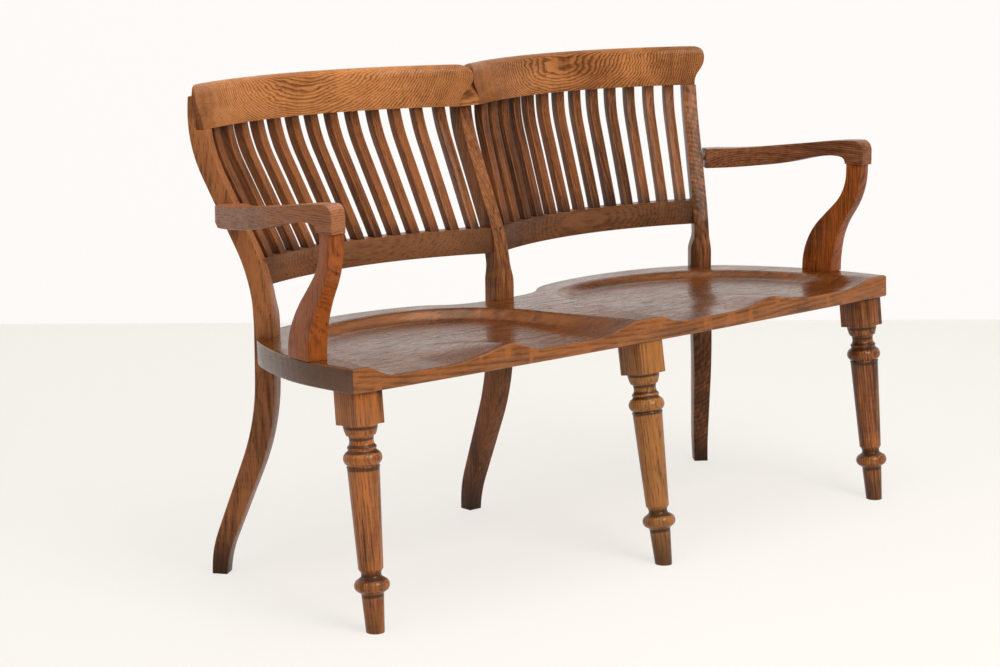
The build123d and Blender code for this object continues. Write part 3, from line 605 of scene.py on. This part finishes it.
@dataclass
class Saddle:
    """One hollow of the seat. Metres on the board: x to the right, y back from its front corners.

    Its walls and the two flanks of its pommel run out over the widths given for the front edge."""

    side: int
    depth: float
    walls: tuple[float, float]
    flanks: tuple[float, float]
    back_wall: float = 0.030
    wall_fade: float = 0.20
    pommel: float = 0.328
    pommel_length: float = 0.175
    pommel_round: float = 0.10
    wall_curve: float = 1.35
    pommel_curve: float = 1.5
    steps: int = 16
    rim: tuple[tuple[float, float], ...] = (
        (0.020, -0.080), (0.027, -0.030), (0.037, 0.047), (0.061, 0.170), (0.075, 0.277), (0.120, 0.357),
        (0.200, 0.409), (0.291, 0.423), (0.394, 0.409), (0.491, 0.359), (0.560, 0.267), (0.596, 0.154),
        (0.625, 0.045), (0.645, -0.030), (0.655, -0.080))

    def __post_init__(self) -> None:
        """Lay the rim out as a fine path that can be searched."""
        corners = [Vector((self.side * x, y, 0)) for x, y in self.rim]
        if self.side > 0:
            corners.reverse()
        self.path = smooth_path(corners, self.steps)
        self.tree = KDTree(len(self.path))
        for index, place in enumerate(self.path):
            self.tree.insert(place, index)
        self.tree.balance()

    def wall(self, place: Vector) -> float:
        """Height left of the hollow's wall at a place: 0 on its floor, 1 at the rim and outside."""
        near, index, distance = self.tree.find(place)
        index = min(max(index, 1), len(self.path) - 2)
        along = self.path[index + 1] - self.path[index - 1]
        if along.cross(place - near).z < 0:
            return 1.0
        front_width = self.walls[0] if near.x < self.side * self.pommel else self.walls[1]
        fade = max(0.0, 1.0 - max(near.y, 0.0) / self.wall_fade)
        width = self.back_wall + (front_width - self.back_wall) * fade * fade
        share = min(distance / width, 1.0)
        return 1.0 - math.sin(share * math.pi / 2) ** self.wall_curve

    def ridge(self, place: Vector) -> float:
        """Height of the pommel at a place, from 0 to 1."""
        gap = place.x - self.side * self.pommel
        share = abs(gap) / (self.flanks[0] if gap < 0 else self.flanks[1])
        share = math.hypot(share, self.pommel_round) - self.pommel_round
        fall = min(max(1.0 - max(place.y, 0.0) / self.pommel_length, 0.0), 1.0)
        return fall * max(0.0, 1.0 - share) ** self.pommel_curve

    def drop(self, place: Vector) -> float:
        """How far the board is hollowed at a place."""
        return self.depth * (1.0 - self.wall(place)) * (1.0 - self.ridge(place))


@dataclass
class SeatBoard(Timber):
    """The seat board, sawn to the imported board's outline, hollowed and rounded."""

    thickness: float = 0.042
    origin: Vector = field(default_factory=lambda: Vector((0.0, -0.260455, 0.445)))
    fall: float = math.radians(2.3)
    step: float = 0.0055
    saddles: tuple[Saddle, ...] = field(default_factory=lambda: (
        Saddle(-1, 0.020, (0.060, 0.110), (0.125, 0.065)),
        Saddle(1, 0.0145, (0.055, 0.110), (0.095, 0.095))))

    def shape(self, bm: bmesh.types.BMesh) -> None:
        """Raise the board from its own outline, round its rims and hollow its top."""
        normal = Vector((0.0, math.sin(self.fall), math.cos(self.fall)))
        self.outline(bm, normal)
        raised = bmesh.ops.extrude_face_region(bm, geom=bm.faces[:])
        corners = [item for item in raised["geom"] if isinstance(item, bmesh.types.BMVert)]
        bmesh.ops.translate(bm, vec=normal * self.thickness, verts=corners)
        bmesh.ops.recalc_face_normals(bm, faces=bm.faces)
        self.round_rims(bm, normal)
        self.slice(bm)
        self.hollow(bm, normal)

    def outline(self, bm: bmesh.types.BMesh, normal: Vector) -> None:
        """Leave one face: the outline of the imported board's underside."""
        bmesh.ops.remove_doubles(bm, verts=bm.verts, dist=self.merge_distance)
        base = self.origin - normal * self.thickness
        others = [face for face in bm.faces if max(abs((corner.co - base).dot(normal)) for corner in face.verts) > 1e-4]
        bmesh.ops.delete(bm, geom=others, context="FACES")
        seed = max(bm.verts, key=lambda vertex: vertex.co.x)
        loop: set[bmesh.types.BMEdge] = set()
        ahead = {seed}
        while ahead:
            found = {edge for corner in ahead for edge in corner.link_edges if edge.is_boundary} - loop
            loop |= found
            ahead = {corner for edge in found for corner in edge.verts}
        inner = [edge for edge in bm.edges if edge not in loop]
        bmesh.ops.delete(bm, geom=inner, context="EDGES")
        bmesh.ops.contextual_create(bm, geom=bm.edges[:])

    def round_rims(self, bm: bmesh.types.BMesh, normal: Vector) -> None:
        """Round the rims of the board, but not of the notches that the posts stand in."""
        upright = [edge for edge in bm.edges
                   if abs((edge.verts[1].co - edge.verts[0].co).normalized().dot(normal)) > 0.99]
        notch = {near for edge in upright if not edge.is_convex and edge.calc_face_angle() > self.sharp_angle
                 for corner in edge.verts for near in corner.link_edges}
        level = self.origin.dot(normal) - self.thickness / 2
        rims = [edge for edge in bm.edges if edge not in notch and edge.calc_face_angle() > self.sharp_angle]
        upper = [edge for edge in rims if min(corner.co.dot(normal) for corner in edge.verts) > level]
        others = [edge for edge in rims if edge not in upper]
        for edges, offset, segments in ((upper, self.easing * 1.5, 4), (others, self.easing, 3)):
            alive = [edge for edge in edges if edge.is_valid]
            bmesh.ops.bevel(bm, geom=alive, offset=offset, offset_type="OFFSET", segments=segments, profile=0.5,
                            affect="EDGES", clamp_overlap=True, material=-1)

    def slice(self, bm: bmesh.types.BMesh) -> None:
        """Cut the board into fine strips both ways, so that its top can bend."""
        for axis in (Vector((1, 0, 0)), Vector((0, 1, 0))):
            reaches = [corner.co.dot(axis) for corner in bm.verts]
            low, high = min(reaches), max(reaches)
            for index in range(1, int((high - low) / self.step)):
                bmesh.ops.bisect_plane(bm, geom=bm.verts[:] + bm.edges[:] + bm.faces[:], dist=1e-6,
                                       plane_co=axis * (low + index * self.step), plane_no=axis)

    def hollow(self, bm: bmesh.types.BMesh, normal: Vector) -> None:
        """Lower the top into the saddles; the underside stays where it is."""
        back = Vector((0.0, math.cos(self.fall), -math.sin(self.fall)))
        for corner in bm.verts:
            reach = corner.co - self.origin
            share = min(max(1.0 + reach.dot(normal) / self.thickness, 0.0), 1.0)
            place = Vector((reach.x, reach.dot(back), 0.0))
            saddle = self.saddles[0] if place.x < 0 else self.saddles[1]
            corner.co = corner.co - normal * (saddle.drop(place) * share)


@dataclass(frozen=True)
class Stand:
    """A back post and the front leg before it: their tones, which on the right also hold painted shade, and the leg's
    lean to the side and to the back.
    """

    word: str
    post_tone_and_shade: float
    leg_tone_and_shade: float
    leg_lean: tuple[float, float]


@dataclass
class Settee:
    """The whole settee, dressed group by group."""

    nodes: dict[str, bpy.types.Object]
    finishes: Finishes = field(default_factory=Finishes)
    materials: dict[str, bpy.types.Material] = field(default_factory=dict)
    up: Vector = field(default_factory=lambda: Vector((0, 0, 1)))
    width: Vector = field(default_factory=lambda: Vector((1, 0, 0)))
    depth: Vector = field(default_factory=lambda: Vector((0, 1, 0)))
    tone: float = -0.08
    # side_painted_shade paints the left side lighter and the right side darker, as painted shade for light falling off
    # to the right
    side_painted_shade: float = 0.10
    arm_tone_and_shade: float = 1.5
    slat_tone: float = 0.16
    slat_rake: float = 0.42
    slat_lean: float = 0.05
    slat_spread: float = 0.012
    wedge_tone: float = -0.2
    stands: tuple[Stand, ...] = (
        Stand("left", 0.02, -0.12, (0.014, 0.111)),
        Stand("centre", -0.20, 0.05, (0.0, 0.161)),
        # The right stand's darker tones are partly painted shade, for light falling off to the right
        Stand("right", -0.35, -0.40, (-0.014, 0.111)))
    dowels: tuple[str, ...] = (
        "arm_joint_dowels", "arm_lap_dowels", "support_dowels", "crest_dowels", "crest_cross_dowel")

    def material(self, finish: OakFinish | PlainFinish) -> bpy.types.Material:
        """A finish's material, built once."""
        if finish.name not in self.materials:
            self.materials[finish.name] = finish.material()
        return self.materials[finish.name]

    def add(self, timber: Timber) -> None:
        """Build one piece."""
        timber.build(self.nodes, self.material(timber.finish))

    def build(self) -> None:
        """Build and dress every piece."""
        kit = self.finishes
        self.add(SeatBoard("seat_board", kit.seat, self.width, self.up, easing=0.003))
        for word, side in SIDES:
            self.build_side(word, side)
        self.add(Timber("crest_wedge", kit.crest, self.width, self.depth, seed=9, tone=self.wedge_tone, easing=0.001))
        for index, stand in enumerate(self.stands):
            self.build_stand(stand, index)
        for node in self.dowels:
            self.coat(node, kit.dowel)
        self.coat("post_screws", kit.screw)
        self.add(Timber("post_plugs", kit.plug, self.width, self.depth, seed=50, easing=0.0004))

    def build_side(self, word: str, side: int) -> None:
        """Build one sitter's rails, arm, support and slats.

        Args:
            word: The side's name.
            side: -1 on the left, 1 on the right.
        """
        kit = self.finishes
        # Painted light and shade: the left side's pieces are painted lighter and the right side's darker, for light
        # falling off to the right
        tone = self.tone - self.side_painted_shade * side
        self.add(Timber(f"{word}_crest_rail", kit.crest, self.width, self.depth, seed=side, tone=tone, easing=0.0025))
        self.add(Timber(f"{word}_lower_rail", kit.rail, self.width, self.depth, seed=side * 2, tone=tone))
        # The arms take one and a half times the tone, which deepens the painted shade on the right arm
        self.add(Arm(f"{word}_arm", kit.arm, self.depth, self.up, seed=side * 3, tone=tone * self.arm_tone_and_shade,
                     easing=0.003, side=side))
        self.add(Timber(f"{word}_arm_support", kit.support, self.up, self.width, seed=side * 4, tone=tone,
                        easing=0.0025))
        for index in range(SLATS_PER_SIDE):
            number = index + 1
            rake = Vector((side * (self.slat_lean + self.slat_spread * index), self.slat_rake, 1))
            seed = number + 20 * side
            slat_tone = self.slat_tone * math.sin(seed * 7.3) + tone
            self.add(Timber(f"{word}_slat_{number:02d}", kit.slat, rake, self.depth, seed=seed, tone=slat_tone))

    def build_stand(self, stand: Stand, index: int) -> None:
        """Build one back post and its front leg.

        Args:
            stand: The post and the leg.
            index: Its place from the left.
        """
        kit = self.finishes
        oak = kit.worn_leg if stand.word == "centre" else kit.leg
        lean = Vector((*stand.leg_lean, 1))
        self.add(Timber(f"{stand.word}_back_post", kit.post, self.up, self.depth, seed=30 + index,
                        tone=stand.post_tone_and_shade, easing=0.002))
        self.add(Timber(f"{stand.word}_front_leg", oak, lean, self.depth, seed=40 + index,
                        tone=stand.leg_tone_and_shade, easing=0.0009))

    def coat(self, node: str, finish: PlainFinish) -> None:
        """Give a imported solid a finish."""
        for slot in self.nodes[node].material_slots:
            slot.material = self.material(finish)


@dataclass(frozen=True)
class Paint:
    """A pale matt paint that shows white to the camera and to reflections, and is clear from behind.

    colour is the paint's own, glow is the white that it shows so, and share is how much of it does."""

    name: str
    colour: Colour
    glow: Colour
    share: float
    patch_scale: float = 1.3
    patch_shade: float = 0.975

    def material(self) -> bpy.types.Material:
        """Build the paint's material."""
        nodes = Nodes(bpy.data.materials.new(self.name))
        camera = nodes.add("ShaderNodeLightPath", {}, {}, "Is Camera Ray")
        gloss = Wire(nodes, camera.socket.node.outputs["Is Glossy Ray"])
        place = nodes.add("ShaderNodeTexCoord", {}, {}, "Object")
        patch = nodes.noise(place, self.patch_scale, 3.0)
        darker = tuple(part * self.patch_shade for part in self.colour)
        base = nodes.mix(patch, self.colour, darker)
        matt = nodes.add("ShaderNodeBsdfDiffuse", {}, {"Color": base})
        light = nodes.add("ShaderNodeEmission", {}, {"Color": (*self.glow, 1.0), "Strength": 1.0})
        front = nodes.add("ShaderNodeMixShader", {}, {0: (camera + gloss) * self.share, 1: matt, 2: light})
        behind = nodes.add("ShaderNodeNewGeometry", {}, {}, "Backfacing")
        clear = nodes.add("ShaderNodeBsdfTransparent", {}, {})
        return nodes.finish(nodes.add("ShaderNodeMixShader", {}, {0: behind, 1: front, 2: clear}))


@dataclass(frozen=True)
class Lamp:
    """A soft square lamp: its place and target in metres, its side in metres and its power in watts."""

    name: str
    place: Triple
    target: Triple
    size: float
    power: float
    colour: Colour

    def build(self) -> None:
        """Hang the lamp and turn it to its target."""
        data = bpy.data.lights.new(self.name, "AREA")
        data.size = self.size
        data.energy = self.power
        data.color = self.colour
        lamp = bpy.data.objects.new(self.name, data)
        lamp.location = self.place
        lamp.rotation_euler = (Vector(self.target) - Vector(self.place)).to_track_quat("-Z", "Y").to_euler()
        bpy.context.scene.collection.objects.link(lamp)


@dataclass
class Studio:
    """The photographer's side: camera, pale floor, wall and soft light."""

    eye: Vector = field(default_factory=lambda: Vector((-3.10487, -3.34624, 1.26211)))
    yaw: float = 0.7289243
    pitch: float = 0.1909456
    roll: float = -0.0045887
    focal_length: float = 89.502
    sensor_width: float = 36.0
    far_clip: float = 100.0
    floor_paint: Paint = Paint("floor_paint", (0.80, 0.765, 0.725), (1.0, 0.970, 0.930), 0.73)
    wall_paint: Paint = Paint("wall_paint", (0.90, 0.88, 0.86), (1.0, 0.980, 0.950), 0.95)
    wall_distance: float = 6.7
    room: float = 14.0
    room_light: Colour = (1.0, 0.985, 0.97)
    room_strength: float = 0.26
    lamps: tuple[Lamp, ...] = (
        Lamp("window", (-3.4, -0.6, 3.2), (0.0, 0.0, 0.4), 2.6, 28.0, (1.0, 0.98, 0.95)),
        Lamp("key", (-0.2, -2.9, 2.6), (-0.3, 0.0, 0.4), 1.8, 84.0, (1.0, 0.97, 0.93)),
        Lamp("top", (-0.2, -0.4, 3.4), (0.0, 0.0, 0.4), 2.4, 55.0, (1.0, 0.98, 0.95)),
        Lamp("back", (1.5, 2.6, 3.0), (0.0, 0.0, 0.5), 2.5, 40.0, (1.0, 0.99, 0.97)))

    def camera(self) -> None:
        """Set up the camera at the photograph's viewpoint."""
        data = bpy.data.cameras.new("camera")
        data.lens = self.focal_length
        data.sensor_width = self.sensor_width
        data.clip_end = self.far_clip
        ahead = Vector((math.sin(self.yaw) * math.cos(self.pitch), math.cos(self.yaw) * math.cos(self.pitch),
                        -math.sin(self.pitch)))
        right = ahead.cross(Vector((0, 0, 1))).normalized()
        above = right.cross(ahead)
        cos_roll, sin_roll = math.cos(self.roll), math.sin(self.roll)
        right, above = right * cos_roll + above * sin_roll, above * cos_roll - right * sin_roll
        turn = Matrix((right, above, -ahead)).transposed()
        camera = bpy.data.objects.new("camera", data)
        camera.matrix_world = Matrix.Translation(self.eye) @ turn.to_4x4()
        bpy.context.scene.collection.objects.link(camera)
        bpy.context.scene.camera = camera

    def plane(self, name: str, turn: Matrix, place: Vector, paint: Paint) -> None:
        """Add a large stage plane.

        Args:
            name: The plane's name.
            turn: Its turn from level.
            place: Its middle.
            paint: Its paint.
        """
        mesh = bpy.data.meshes.new(name)
        bm = bmesh.new()
        bmesh.ops.create_grid(bm, x_segments=2, y_segments=2, size=self.room)
        bmesh.ops.transform(bm, matrix=Matrix.Translation(place) @ turn.to_4x4(), verts=bm.verts)
        bm.to_mesh(mesh)
        bm.free()
        mesh.materials.append(paint.material())
        stage = bpy.data.objects.new(name, mesh)
        bpy.context.scene.collection.objects.link(stage)

    def world(self) -> None:
        """Light the room evenly, and show white to the camera."""
        nodes = Nodes(bpy.data.worlds.new("room"))
        camera = nodes.add("ShaderNodeLightPath", {}, {}, "Is Camera Ray")
        light = {"Color": (*self.room_light, 1.0), "Strength": self.room_strength}
        dim = nodes.add("ShaderNodeBackground", {}, light)
        white = nodes.add("ShaderNodeBackground", {}, {"Color": (*self.wall_paint.glow, 1.0), "Strength": 1.0})
        shader = nodes.add("ShaderNodeMixShader", {}, {0: camera, 1: dim, 2: white})
        bpy.context.scene.world = nodes.finish(shader, "ShaderNodeOutputWorld")

    def build(self) -> None:
        """Build the studio."""
        self.camera()
        self.world()
        self.plane("floor", Matrix.Identity(3), Vector((0, 0, 0)), self.floor_paint)
        ahead = Vector((math.sin(self.yaw), math.cos(self.yaw), 0))
        turn = (-ahead).to_track_quat("Z", "Y").to_matrix()
        wall_place = Vector((self.eye.x, self.eye.y, 0)) + ahead * self.wall_distance
        self.plane("wall", turn, wall_place, self.wall_paint)
        for lamp in self.lamps:
            lamp.build()
        bpy.context.scene.view_settings.view_transform = "Standard"


def main() -> None:
    """Build the settee and its studio."""
    logging.basicConfig(level=logging.INFO)
    for leftover in [item for item in bpy.data.objects if item.name in LEFTOVERS]:
        bpy.data.objects.remove(leftover)
    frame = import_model()
    Studio().build()
    Settee(frame["nodes"]).build()


if __name__ == "__main__":
    main()
